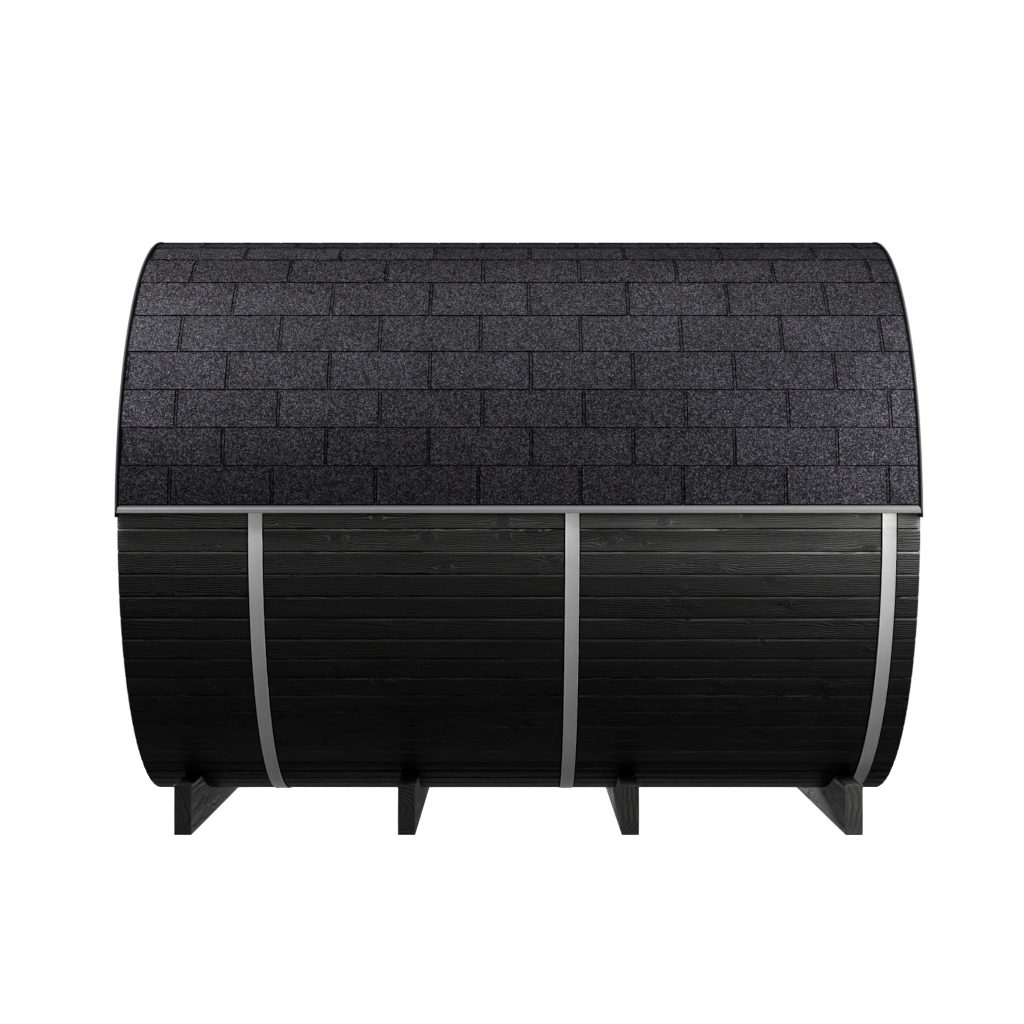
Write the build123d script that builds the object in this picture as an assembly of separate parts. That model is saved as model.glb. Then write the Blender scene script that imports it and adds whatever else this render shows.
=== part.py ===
from build123d import *
import math
import os

# Barrel sauna: a horizontal wooden barrel on four cradles, with three steel bands, an open porch at one end, and a
# curved shingled roof over the upper half. Millimetres, +X from the porch end to the rear end, +Z up, origin on the
# ground under the middle. Polar angles run from the right-hand side of the barrel (-Y, 0) up over the top.

# ---- barrel ----
STAVE_COUNT = 82            # staves round the barrel
BARREL_R = 980.0            # outer radius, at the joints between staves
STAVE_T = 42.0              # stave thickness
FIRST_JOINT = -0.0190       # angle of the joint nearest the horizontal, radians
HALF_LEN = 1307.0           # half the barrel's length
AXIS_Z = 1068.0             # height of the barrel's axis over the ground
PANEL_STAVES = [7, 7, 7, 7, 7, 6, 7, 7, 7, 7, 7, 6]

# ---- end walls, held in grooves in the staves ----
WALL_T = 42.0
GROOVE_D = 10.0
FRONT_WALL_X = -858.0       # middle of the front wall's thickness
BACK_WALL_X = 1206.0

# ---- bands ----
BAND_X = [-858.0, 174.0, 1206.0]
BAND_W = 46.0
BAND_T = 3.5

# ---- doorway and door ----
DOOR_HALF_W = 330.0         # rough doorway
DOOR_LO = -795.0            # heights from the axis
DOOR_HI = 815.0
FRAME_W = 40.0
FRAME_X = (-889.0, -832.0)
STOP_W = 12.0
STOP_X = -846.0
LEAF_X = (-887.0, -847.0)
LEAF_GAP = 3.0

# ---- floors ----
FLOOR_TOP = -780.0          # from the axis
FLOOR_T = 28.0
BEARER_Y = 320.0
BEARER_W = 45.0

# ---- cradles ----
CRADLE_X = [-1146.0, -382.0, 382.0, 1146.0]
CRADLE_T = 60.0
CRADLE_HALF = 643.0
CRADLE_TOP = -896.7         # from the axis

# ---- roof ----
RIB_X = [-1262.0, -760.0, -258.0, 258.0, 760.0, 1262.0]
RIB_W = 50.0
RIB_R = 1000.0              # outer radius of the ribs
DECK_R = 1020.0             # outer radius of the deck boards
SHINGLE_R = 1025.6          # outer radius of the shingles
ROOF_CUT = 34.0             # lower edge of ribs and deck, over the axis
SHINGLE_CUT = 58.73         # lower edge of the shingles, over the axis
ROOF_HALF = 1305.0          # half length of ribs, deck and shingles
TRIM_R = 1030.0             # outer radius of the end trims
TRIM_FLANGE_R = 1026.8
TRIM_LAP = 15.4             # how far the end trim's flange laps onto the shingles
TRIM_CUT = 18.0             # lower end of the end trims, over the axis
EAVE_Y = 1034.7             # outer face of the eave trims
EAVE_T = 2.2

STEP = 2.0 * math.pi / STAVE_COUNT


def radius_at(r, a):
    """Distance from the axis to the side of the 82-gon of vertex radius r, at angle a."""
    k = math.floor((a - FIRST_JOINT) / STEP + 1e-9)
    mid = FIRST_JOINT + (k + 0.5) * STEP
    return r * math.cos(STEP / 2) / math.cos(a - mid)


def at(r, a):
    """Point (Y, Z) on the 82-gon of vertex radius r, at angle a."""
    q = radius_at(r, a)
    return (-q * math.cos(a), AXIS_Z + q * math.sin(a))


def run(r, a, b):
    """Points of the 82-gon from angle a to angle b, with its vertices between them."""
    turn = 1 if b > a else -1
    lo, hi = min(a, b), max(a, b)
    first = math.ceil((lo - FIRST_JOINT) / STEP - 1e-7)
    last = math.floor((hi - FIRST_JOINT) / STEP + 1e-7)
    mids = [FIRST_JOINT + k * STEP for k in range(first, last + 1)]
    mids = [m for m in mids if lo + 1e-6 < m < hi - 1e-6]
    return [at(r, t) for t in [a, *mids[::turn], b]]


def solve(f, lo, hi):
    up = f(hi) > f(lo)
    for _ in range(80):
        m = (lo + hi) / 2
        if (f(m) > 0) == up:
            hi = m
        else:
            lo = m
    return (lo + hi) / 2


def at_height(r, z, far=False):
    """Angle where the 82-gon is at height z over the axis, on the -Y side, or on the +Y side."""
    lo, hi = (math.pi / 2, 1.5 * math.pi) if far else (-math.pi / 2, math.pi / 2)
    return solve(lambda a: at(r, a)[1] - AXIS_Z - z, lo, hi)


def at_side(r, y, low=False):
    """Angle where the 82-gon is at Y = y, on its upper half, or on its lower half."""
    lo, hi = (-math.pi, 0.0) if low else (0.0, math.pi)
    return solve(lambda a: at(r, a)[0] - y, lo, hi)


def joint(k):
    return FIRST_JOINT + k * STEP


def prism(points, x0, x1):
    wire = Wire.make_polygon([Vector(x0, y, z) for y, z in points], close=True)
    return extrude(Face(wire), amount=x1 - x0, dir=(1, 0, 0))


def box(x0, x1, y0, y1, z0, z1):
    return prism([(y0, z0), (y1, z0), (y1, z1), (y0, z1)], x0, x1)


def rod(p, q, r):
    p, q = Vector(*p), Vector(*q)
    return Solid.make_cylinder(r, (q - p).length, Plane(origin=p, z_dir=(q - p).normalized()))


def save(name, shape):
    solids = shape.solids()
    shape = solids[0] if len(solids) == 1 else Compound(children=list(solids))
    shape.label = name
    export_step(shape, os.path.join("parts", name + ".step"))


def staves():
    k = 0
    for n, count in enumerate(PANEL_STAVES, 1):
        a, b = joint(k), joint(k + count)
        panel = prism(run(BARREL_R, a, b) + run(BARREL_R - STAVE_T, b, a), -HALF_LEN, HALF_LEN)
        for x in (FRONT_WALL_X, BACK_WALL_X):
            pad = 0.02
            groove = run(BARREL_R - STAVE_T + GROOVE_D, a - pad, b + pad) + run(BARREL_R - STAVE_T - 12, b + pad, a - pad)
            panel = panel - prism(groove, x - WALL_T / 2, x + WALL_T / 2)
        save(f"staves_{n:02d}", panel)
        k += count


def bands():
    for name, x in zip(("band_front", "band_middle", "band_rear"), BAND_X):
        x0 = x - BAND_W / 2
        rings = []
        for r in (BARREL_R + BAND_T, BARREL_R):
            points = [at(r, joint(k)) for k in range(STAVE_COUNT)]
            rings.append(Wire.make_polygon([Vector(x0, y, z) for y, z in points], close=True))
        save(name, extrude(Face(rings[0], [rings[1]]), amount=BAND_W, dir=(1, 0, 0)))


def end_walls():
    r = BARREL_R - STAVE_T + GROOVE_D
    x0, x1 = FRONT_WALL_X - WALL_T / 2, FRONT_WALL_X + WALL_T / 2
    w, lo, hi = DOOR_HALF_W, AXIS_Z + DOOR_LO, AXIS_Z + DOOR_HI
    save("front_wall_right", prism(run(r, at_side(r, -w, True), at_side(r, -w)), x0, x1))
    save("front_wall_left", prism(run(r, at_side(r, w), at_side(r, w, True) + 2 * math.pi), x0, x1))
    save("front_wall_over_door", prism([(-w, hi), (w, hi)] + run(r, at_side(r, w), at_side(r, -w)), x0, x1))
    save("front_wall_under_door", prism([(-w, lo), (w, lo)] + run(r, at_side(r, w, True), at_side(r, -w, True)), x0, x1))
    x0, x1 = BACK_WALL_X - WALL_T / 2, BACK_WALL_X + WALL_T / 2
    save("back_wall", prism([at(r, joint(k)) for k in range(STAVE_COUNT)], x0, x1))


def door():
    w, lo, hi, f = DOOR_HALF_W, AXIS_Z + DOOR_LO, AXIS_Z + DOOR_HI, FRAME_W
    x0, x1 = FRAME_X
    frame = box(x0, x1, -w, w, lo, hi) - box(x0 - 1, x1 + 1, -w + f, w - f, lo + f, hi - f)
    s = f + STOP_W
    stop = box(STOP_X, x1, -w + f, w - f, lo + f, hi - f) - box(STOP_X - 1, x1 + 1, -w + s, w - s, lo + s, hi - s)
    save("door_frame", frame + stop)
    g = f + LEAF_GAP
    save("door_leaf", box(*LEAF_X, -w + g, w - g, lo + g, hi - g))
    for name, face, side in (("door_handle_outside", LEAF_X[0], -1), ("door_handle_inside", LEAF_X[1], 1)):
        x = face + side * 45.0
        y = -w + g + 55.0
        bar = rod((x, y, AXIS_Z - 190), (x, y, AXIS_Z + 190), 14)
        for z in (-130, 130):
            bar = bar + rod((face, y, AXIS_Z + z), (x, y, AXIS_Z + z), 8)
        save(name, bar)
    pin_y, pin_x = w - f - LEAF_GAP / 2, FRAME_X[0] - 6.5
    for name, z in (("upper_hinge", 560.0), ("lower_hinge", -540.0)):
        z += AXIS_Z
        hinge = rod((pin_x, pin_y, z - 45), (pin_x, pin_y, z + 45), 6)
        hinge = hinge + box(FRAME_X[0] - 2.5, FRAME_X[0], pin_y + 1.5, w - 4, z - 40, z + 40)
        hinge = hinge + box(FRAME_X[0] - 2.5, LEAF_X[0], pin_y - 190, pin_y - 1.5, z - 22, z + 22)
        save(name, hinge)


def floors():
    top, low = FLOOR_TOP, FLOOR_TOP - FLOOR_T
    r, seat = BARREL_R - STAVE_T - 1.0, BARREL_R - STAVE_T
    near = run(r, at_height(r, top), at_height(r, low))
    far = run(r, at_height(r, low, True), at_height(r, top, True))
    for name, x0, x1 in (
        ("porch_floor", -HALF_LEN + 6, FRONT_WALL_X - WALL_T / 2 - 12),
        ("cabin_floor", FRONT_WALL_X + WALL_T / 2 + 6, BACK_WALL_X - WALL_T / 2 - 1),
    ):
        floor = prism(near + far, x0, x1)
        for y in (-BEARER_Y, BEARER_Y):
            y0, y1 = y - BEARER_W / 2, y + BEARER_W / 2
            under = run(seat, at_side(seat, y1, True), at_side(seat, y0, True))
            floor = floor + prism([(y0, AXIS_Z + low), (y1, AXIS_Z + low)] + under, x0, x1)
        save(name, floor)


def cradles():
    r, z = BARREL_R, CRADLE_TOP
    arc = run(r, at_height(r, z, True), 2 * math.pi + at_height(r, z))
    for n, x in enumerate(CRADLE_X, 1):
        points = [(-CRADLE_HALF, 0), (CRADLE_HALF, 0), (CRADLE_HALF, AXIS_Z + z)] + arc + [(-CRADLE_HALF, AXIS_Z + z)]
        save(f"cradle_{n}", prism(points, x - CRADLE_T / 2, x + CRADLE_T / 2))


def layer(r_in, r_out, x0, x1, start=None, end=None, cut=ROOF_CUT):
    """A curved layer of the roof, from joint start, or from its lower edge, to joint end, or to its lower edge."""
    o0, i0 = (joint(start),) * 2 if start is not None else (at_height(r_out, cut), at_height(r_in, cut))
    o1, i1 = (joint(end),) * 2 if end is not None else (at_height(r_out, cut, True), at_height(r_in, cut, True))
    return prism(run(r_out, o0, o1) + run(r_in, i1, i0), x0, x1)


def arch(r_in, r_out, cut, x0, x1):
    """Half ring of true arcs, cut level at its two feet."""
    def p(r, side):
        return Vector(x0, side * math.sqrt(r * r - cut * cut), AXIS_Z + cut)

    edges = [
        Edge.make_three_point_arc(p(r_out, -1), Vector(x0, 0, AXIS_Z + r_out), p(r_out, 1)),
        Edge.make_line(p(r_out, 1), p(r_in, 1)),
        Edge.make_three_point_arc(p(r_in, 1), Vector(x0, 0, AXIS_Z + r_in), p(r_in, -1)),
        Edge.make_line(p(r_in, -1), p(r_out, -1)),
    ]
    return extrude(Face(Wire(edges)), amount=x1 - x0, dir=(1, 0, 0))


def roof():
    ribs = [layer(BARREL_R, RIB_R, x - RIB_W / 2, x + RIB_W / 2) for x in RIB_X]
    save("roof_ribs", Compound(children=[s for rib in ribs for s in rib.solids()]))
    cuts = [None, 11, 21, 31, None]
    for n in range(4):
        save(f"roof_deck_{n + 1}", layer(RIB_R, DECK_R, -ROOF_HALF, ROOF_HALF, cuts[n], cuts[n + 1]))
    save("shingles_right", layer(DECK_R, SHINGLE_R, -ROOF_HALF, ROOF_HALF, 1, 21))
    save("shingles_left", layer(DECK_R, SHINGLE_R, -ROOF_HALF, ROOF_HALF, 21, None, SHINGLE_CUT))

    for name, side in (("end_trim_front", -1), ("end_trim_rear", 1)):
        outer, inner = sorted((side * HALF_LEN, side * ROOF_HALF))
        plate = arch(BARREL_R + 1, TRIM_R, TRIM_CUT, outer, inner)
        f0, f1 = sorted((side * ROOF_HALF, side * (HALF_LEN - TRIM_LAP)))
        save(name, plate + arch(TRIM_FLANGE_R, TRIM_R, TRIM_CUT, f0, f1))

    for name, side in (("eave_trim_right", -1), ("eave_trim_left", 1)):
        far = side > 0
        top, foot = SHINGLE_CUT - 0.2, ROOF_CUT + 2
        t0 = abs(at(DECK_R, at_height(DECK_R, top, far))[0])
        t1 = abs(at(DECK_R, at_height(DECK_R, foot, far))[0])
        points = [
            (t0, top), (t0 + 4.6, top), (EAVE_Y, 45.0), (EAVE_Y, 30.0), (EAVE_Y - 3.0, 30.0), (EAVE_Y - 3.0, 43.8),
            (t1 + EAVE_T + 0.8, 55.4), (t1 + EAVE_T, foot), (t1, foot),
        ]
        trim = prism([(side * y, AXIS_Z + z) for y, z in points], -HALF_LEN + 7.5, HALF_LEN - 7.5)
        for end in (-1, 1):
            x0 = end * (HALF_LEN - TRIM_LAP - 0.4)
            trim = trim - rod((x0, 0, AXIS_Z), (x0 + end * 40, 0, AXIS_Z), TRIM_R + 0.4)
        save(name, trim)


os.makedirs("parts", exist_ok=True)
staves()
bands()
end_walls()
door()
floors()
cradles()
roof()
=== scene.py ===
import math
import random

import bpy
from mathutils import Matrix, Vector


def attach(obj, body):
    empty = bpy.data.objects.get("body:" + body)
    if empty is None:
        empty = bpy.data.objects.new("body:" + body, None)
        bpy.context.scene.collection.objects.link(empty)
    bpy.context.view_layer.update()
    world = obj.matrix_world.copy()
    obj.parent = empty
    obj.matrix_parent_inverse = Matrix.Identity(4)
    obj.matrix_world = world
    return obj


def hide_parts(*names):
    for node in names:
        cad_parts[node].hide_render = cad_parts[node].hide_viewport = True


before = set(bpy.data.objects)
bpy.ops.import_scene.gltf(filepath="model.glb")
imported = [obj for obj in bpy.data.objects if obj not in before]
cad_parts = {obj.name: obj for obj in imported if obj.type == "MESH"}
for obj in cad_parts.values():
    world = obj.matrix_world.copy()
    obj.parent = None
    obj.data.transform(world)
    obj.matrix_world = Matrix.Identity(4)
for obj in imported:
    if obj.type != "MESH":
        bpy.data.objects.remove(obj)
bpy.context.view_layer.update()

# All lengths in metres. The barrel's axis runs along X at height AXIS. Angles run from the right-hand side (-Y) up
# over the top.
R, N, HALF, AXIS = 0.980, 82, 1.307, 1.068
STEP = 2 * math.pi / N
FIRST = -0.0190
STAVE_T = 0.042
BANDS = (-0.858, 0.174, 1.206)
PANELS = [7, 7, 7, 7, 7, 6, 7, 7, 7, 7, 7, 6]
rng = random.Random(82)


def pol(x, r, a):
    return (x, -r * math.cos(a), AXIS + r * math.sin(a))


# ---------------------------------------------------------------- mesh building


class Build:
    """Collects vertices, faces and the per-vertex values that the materials read. rim and lip mostly carry painted
    light and shade.
    """

    def __init__(self):
        self.v, self.f, self.m = [], [], []
        self.wood, self.seed, self.tone, self.rim, self.lip = [], [], [], [], []

    def add(self, points, wood=None, seed=0.0, tone=0.5, rim=None, lip=None):
        first = len(self.v)
        n = len(points)
        self.v += [tuple(p) for p in points]
        self.wood += [tuple(w) for w in wood] if wood else [tuple(p) for p in points]
        self.seed += [seed] * n
        self.tone += [tone] * n if isinstance(tone, (int, float)) else list(tone)
        self.rim += rim or [0.0] * n
        self.lip += lip or [0.0] * n
        return first

    def face(self, idx, mat=0):
        self.f.append(tuple(idx))
        self.m.append(mat)

    def loft(self, rings, woods=None, seed=0.0, tone=0.5, mat=0, closed=True, caps=True, loop=False, rims=None):
        """Skins rings of the same number of points, and closes both ends. loop joins the last ring to the first."""
        n = len(rings[0])
        starts = []
        for i, ring in enumerate(rings):
            starts.append(self.add(ring, woods[i] if woods else None, seed, tone, rims[i] if rims else None))
        pairs = list(zip(starts, starts[1:]))
        if loop:
            pairs.append((starts[-1], starts[0]))
        for a, b in pairs:
            for j in range(n if closed else n - 1):
                k = (j + 1) % n
                self.face((a + j, a + k, b + k, b + j), mat)
        if caps and not loop:
            self.face([starts[0] + j for j in reversed(range(n))], mat)
            self.face([starts[-1] + j for j in range(n)], mat)

    def make(self, name, mats, nodes, sharp=34.0):
        mesh = bpy.data.meshes.new(name)
        mesh.from_pydata(self.v, [], self.f)
        mesh.validate()
        mesh.polygons.foreach_set("material_index", self.m)
        mesh.polygons.foreach_set("use_smooth", [True] * len(self.f))
        at = mesh.attributes.new("wood", "FLOAT_VECTOR", "POINT")
        at.data.foreach_set("vector", [c for w in self.wood for c in w])
        for key in ("seed", "tone", "rim", "lip"):
            at = mesh.attributes.new(key, "FLOAT", "POINT")
            at.data.foreach_set("value", getattr(self, key))
        for m in mats:
            mesh.materials.append(m)
        import bmesh

        bm = bmesh.new()
        bm.from_mesh(mesh)
        bmesh.ops.recalc_face_normals(bm, faces=bm.faces)
        big = [f for f in bm.faces if len(f.verts) > 4]
        if big:
            bmesh.ops.triangulate(bm, faces=big)
        bm.to_mesh(mesh)
        bm.free()
        mesh.set_sharp_from_angle(angle=math.radians(sharp))
        ob = bpy.data.objects.new(name, mesh)
        bpy.context.scene.collection.objects.link(ob)
        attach(ob, "root")
        if nodes:
            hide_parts(*nodes)
        return ob


def chamfered(w, h, c, steps=2):
    """Cross-section of a board w wide and h thick, centred on its width, with rounded long edges. Points (wide, deep)."""
    pts = []
    for sx, sy, a0 in ((1, 1, 0), (-1, 1, 90), (-1, -1, 180), (1, -1, 270)):
        cx, cy = sx * (w / 2 - c), sy * (h / 2 - c)
        for i in range(steps + 1):
            a = math.radians(a0 + 90 * i / steps)
            pts.append((cx + c * math.cos(a), cy + c * math.sin(a)))
    return pts


def board(b, origin, along, wide, deep, lo, hi, w, h, c=0.002, cuts=None, seed=None, tone=None, rings=1, wave=0.0, end=0.001, mat=0):
    """One sawn board. origin is on its centre line, lo and hi its ends. cuts(wide) may give other ends for each point of
    the section."""
    o, e1, e2, e3 = Vector(origin), Vector(along), Vector(wide), Vector(deep)
    seed = rng.random() if seed is None else seed
    tone = rng.random() if tone is None else tone
    section = chamfered(w, h, c)
    ls, ws = [], []
    stations = [(0.0, end)] + [(t / rings, 0.0) for t in range(rings + 1)] + [(1.0, end)]
    for n, (t, inset) in enumerate(stations):
        pts, wd = [], []
        for p, q in section:
            k = 1 - 2 * inset / max(w, 1e-6) if inset else 1.0
            kq = 1 - 2 * inset / max(h, 1e-6) if inset else 1.0
            a0, a1 = cuts(p) if cuts else (lo, hi)
            if n == 0:
                s = a0
            elif n == len(stations) - 1:
                s = a1
            else:
                s = a0 + end + t * (a1 - a0 - 2 * end)
            dq = 0.0
            if wave and 0 < n < len(stations) - 1:
                dq = wave * (math.sin(s * 5.1 + seed * 40) + 0.6 * math.sin(s * 13.7 + seed * 90))
            pts.append(o + e1 * s + e2 * (p * k + dq) + e3 * (q * kq))
            wd.append((s, p, q - h / 2))
        ls.append(pts)
        ws.append(wd)
    b.loft(ls, ws, seed, tone, mat)


# ---------------------------------------------------------------- materials


class Mat:
    """A Principled material with short ways to add nodes."""

    def __init__(self, name):
        self.m = bpy.data.materials.new(name)
        self.m.use_nodes = True
        self.t = self.m.node_tree
        self.b = next(n for n in self.t.nodes if n.type == "BSDF_PRINCIPLED")

    def put(self, socket, value):
        if hasattr(value, "is_linked"):
            self.t.links.new(value, socket)
        else:
            socket.default_value = value

    def node(self, kind, out=0, ins=(), **props):
        n = self.t.nodes.new("ShaderNode" + kind)
        for k, v in props.items():
            setattr(n, k, v)
        for k, v in dict(ins).items():
            self.put(n.inputs[k], v)
        return n.outputs[out]

    def attr(self, name, out="Fac"):
        return self.node("Attribute", out, attribute_name=name)

    def math(self, op, a, b=None, c=None, clamp=False):
        ins = {0: a}
        if b is not None:
            ins[1] = b
        if c is not None:
            ins[2] = c
        return self.node("Math", 0, ins, operation=op, use_clamp=clamp)

    def vmath(self, op, a, b=None, out=0):
        ins = {0: a}
        if b is not None:
            ins[1] = b
        return self.node("VectorMath", out, ins, operation=op)

    def scaled(self, v, x, y, z):
        return self.vmath("MULTIPLY", v, (x, y, z))

    def noise(self, v, scale=1.0, detail=2.0, rough=0.5, out="Fac", distortion=0.0):
        return self.node("TexNoise", out, {"Vector": v, "Scale": scale, "Detail": detail, "Roughness": rough, "Distortion": distortion})

    def range(self, v, a, b, c, d, clamp=True, kind="LINEAR"):
        return self.node("MapRange", 0, {0: v, 1: a, 2: b, 3: c, 4: d}, clamp=clamp, interpolation_type=kind)

    def mix(self, fac, a, b, blend="MIX"):
        n = self.t.nodes.new("ShaderNodeMix")
        n.data_type, n.blend_type = "RGBA", blend
        n.clamp_factor = True
        self.put(n.inputs[0], fac)
        for s, v in ((n.inputs[6], a), (n.inputs[7], b)):
            self.put(s, v if hasattr(v, "is_linked") else (*v, 1.0) if len(v) == 3 else v)
        return n.outputs[2]

    def grey(self, value, tint=(1.0, 1.0, 1.0)):
        c = self.node("CombineColor", 0, {0: value, 1: value, 2: value})
        return self.mix(1.0, c, tint, "MULTIPLY") if tint != (1.0, 1.0, 1.0) else c

    def bump(self, height, distance, strength=1.0, normal=None):
        ins = {"Height": height, "Distance": distance, "Strength": strength}
        if normal is not None:
            ins["Normal"] = normal
        return self.node("Bump", 0, ins)

    def finish(self, color=None, rough=None, normal=None, metallic=None, spec=None):
        for key, val in (("Base Color", color), ("Roughness", rough), ("Normal", normal), ("Metallic", metallic), ("Specular IOR Level", spec)):
            if val is not None:
                self.put(self.b.inputs[key], val if hasattr(val, "is_linked") or not isinstance(val, tuple) else (*val, 1.0))
        return self.m


def wood(name, level, ring=0.0085, relief=0.0012, contrast=0.35, rough=0.45, spec=0.12, tint=(1.0, 1.0, 0.97), band_shadow=False, knots=1.0, fibres=0.6, thin=None):
    """Stained softwood with raised, wavy growth rings that part round knots. level is its linear grey. The per-vertex
    lip and rim scale the stain, gloss and grain strength, mostly as painted light and shade, and one switch adds a
    painted shadow line beside each steel band.
    """
    k = Mat(name)
    p = k.attr("wood", "Vector")
    seed = k.attr("seed")
    tone = k.attr("tone")
    sx, sy, sz = k.math("MULTIPLY", seed, 71.3), k.math("MULTIPLY", seed, 37.7), k.math("MULTIPLY", seed, 53.1)
    shift = k.node("CombineXYZ", 0, {0: sx, 1: sy, 2: sz})
    q = k.vmath("ADD", p, shift)

    def swing(v, amount):
        return k.math("MULTIPLY", k.math("SUBTRACT", v, 0.5), amount)

    def random(factor):
        return k.math("FRACT", k.math("MULTIPLY", seed, factor))

    bend = k.math("ADD", swing(k.noise(k.scaled(q, 1.3, 6.0, 6.0), 1.0, 2.0), 0.050), swing(k.noise(k.scaled(q, 13.0, 24.0, 24.0), 1.0, 2.0), 0.0085))
    bend = k.math("ADD", bend, swing(k.noise(k.scaled(q, 65.0, 150.0, 150.0), 1.0, 1.0), 0.0026))
    # a thin scatter of knots, with the place measured from the nearest
    cell = k.scaled(q, 3.4, 10.0, 0.0)
    vor = k.node("TexVoronoi", "Position", {"Vector": cell, "Scale": 1.0, "Randomness": 1.0}, feature="F1", voronoi_dimensions="2D")
    dice = k.node("SeparateColor", 0, {0: vor.node.outputs["Color"]}).node
    off = k.vmath("MULTIPLY", k.vmath("SUBTRACT", cell, vor), (1 / 3.4, 0.1, 0.0))
    wob = k.vmath("SUBTRACT", k.noise(k.scaled(q, 45, 90, 90), 1.0, 2.0, out="Color"), (0.5, 0.5, 0.5))
    off = k.vmath("ADD", off, k.scaled(wob, 0.010, 0.006, 0.0))
    o = k.node("SeparateXYZ", 0, {0: off}).node
    dx, dy = k.math("MULTIPLY", o.outputs[0], 0.55), o.outputs[1]
    rho2 = k.math("ADD", k.math("MULTIPLY", dx, dx), k.math("MULTIPLY", dy, dy))
    size = k.range(dice.outputs[0], 0.0, 1.0, 0.0030, 0.0150)
    size2 = k.math("MULTIPLY", size, size)
    part = k.math("DIVIDE", k.math("MULTIPLY", dy, k.math("MULTIPLY", size2, 2.2 * knots)), k.math("MAXIMUM", rho2, k.math("MULTIPLY", size2, 0.7)))
    heart = k.range(k.math("DIVIDE", rho2, size2), 0.35, 1.0, 1.0, 0.0, kind="SMOOTHSTEP")
    # distance from the pith
    sep = k.node("SeparateXYZ", 0, {0: p}).node
    y0 = k.math("MULTIPLY", k.math("SUBTRACT", random(17.3), 0.5), 0.26)
    y0 = k.math("ADD", y0, k.math("MULTIPLY", k.math("SUBTRACT", k.math("GREATER_THAN", random(17.3), 0.5), 0.5), 0.07))
    z0 = k.math("ADD", k.math("MULTIPLY", random(29.9), 0.030), 0.008)
    z0 = k.math("ADD", z0, k.math("MULTIPLY", sep.outputs[0], k.math("MULTIPLY", k.math("SUBTRACT", random(43.1), 0.5), 0.05)))
    c = k.math("SUBTRACT", k.math("ADD", k.math("SUBTRACT", sep.outputs[1], y0), bend), part)
    dz = k.math("SUBTRACT", z0, sep.outputs[2])
    r = k.math("SQRT", k.math("ADD", k.math("MULTIPLY", c, c), k.math("MULTIPLY", dz, dz)))
    uneven = k.noise(k.node("CombineXYZ", 0, {0: k.math("MULTIPLY", r, 42.0), 1: sx, 2: 0.0}), 1.0, 1.0)
    turns = k.math("ADD", k.math("DIVIDE", r, ring), k.math("MULTIPLY", uneven, 1.3))
    inner = k.math("DIVIDE", k.math("SQRT", rho2), 0.0032)
    turns = k.math("ADD", k.math("MULTIPLY", turns, k.math("SUBTRACT", 1.0, heart)), k.math("MULTIPLY", inner, heart))
    wave = k.math("ADD", k.math("MULTIPLY", k.math("COSINE", k.math("MULTIPLY", turns, 2 * math.pi)), 0.5), 0.5)
    if thin:
        wave = k.math("POWER", wave, thin)
    # the rings are more and less worn along a board
    patch = k.range(k.noise(k.scaled(q, 3.0, 22.0, 22.0), 1.0, 2.0), 0.34, 0.62, 0.35, 1.0)
    fibre = k.noise(k.scaled(q, 14.0, 330.0, 330.0), 1.0, 3.0, 0.6)
    pores = k.noise(k.scaled(q, 70.0, 1300.0, 1300.0), 1.0, 2.0, 0.6)
    # on the staves rim raises or lowers the grain's contrast and relief board by board, a painted stand-in for how
    # strongly light falls on each board
    strength = k.math("MULTIPLY", k.math("ADD", k.attr("rim"), 1.0), patch)
    shade = k.math("MULTIPLY", k.math("SUBTRACT", wave, 0.5), k.math("MULTIPLY", strength, contrast))
    shade = k.math("ADD", shade, swing(fibre, fibres))
    shade = k.math("ADD", shade, swing(pores, 0.35))
    shade = k.math("ADD", shade, swing(tone, 0.22))
    shade = k.math("ADD", shade, swing(k.noise(k.scaled(q, 1.7, 9.0, 9.0), 1.0, 3.0, 0.6), 0.6))
    shade = k.math("SUBTRACT", k.math("ADD", shade, 1.0), k.math("MULTIPLY", heart, 0.30 * knots))
    # lip scales the stain and the gloss; on the staves and cradles it mostly carries painted light and shade
    gain = k.math("ADD", k.attr("lip"), 1.0)
    value = k.math("MULTIPLY", k.math("MULTIPLY", k.math("MAXIMUM", shade, 0.12), gain), level)
    gloss = k.math("MULTIPLY", gain, spec)
    # painted shadow: a thin dark line on the staves along both edges of each steel band
    if band_shadow:
        x = k.node("SeparateXYZ", 0, {0: k.node("TexCoord", "Object")}).node.outputs[0]
        shade_paint = None
        for band in BANDS:
            d = k.math("ABSOLUTE", k.math("SUBTRACT", x, band))
            line = k.range(d, 0.0270, 0.0284, 0.0, 1.0)
            shade_paint = line if shade_paint is None else k.math("MINIMUM", shade_paint, line)
        value = k.math("MULTIPLY", value, shade_paint)
        gloss = k.math("MULTIPLY", shade_paint, gloss)
    color = k.grey(value, tint)
    height = k.math("MULTIPLY", k.math("POWER", wave, 1.2), strength)
    height = k.math("ADD", height, k.math("MULTIPLY", fibre, 0.55))
    height = k.math("ADD", height, k.math("MULTIPLY", pores, 0.15))
    height = k.math("ADD", height, k.math("MULTIPLY", heart, 0.25 * knots))
    normal = k.bump(height, relief, 1.0)
    rr = k.math("ADD", swing(fibre, 0.16), rough)
    return k.finish(color, rr, normal, spec=gloss)


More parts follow.
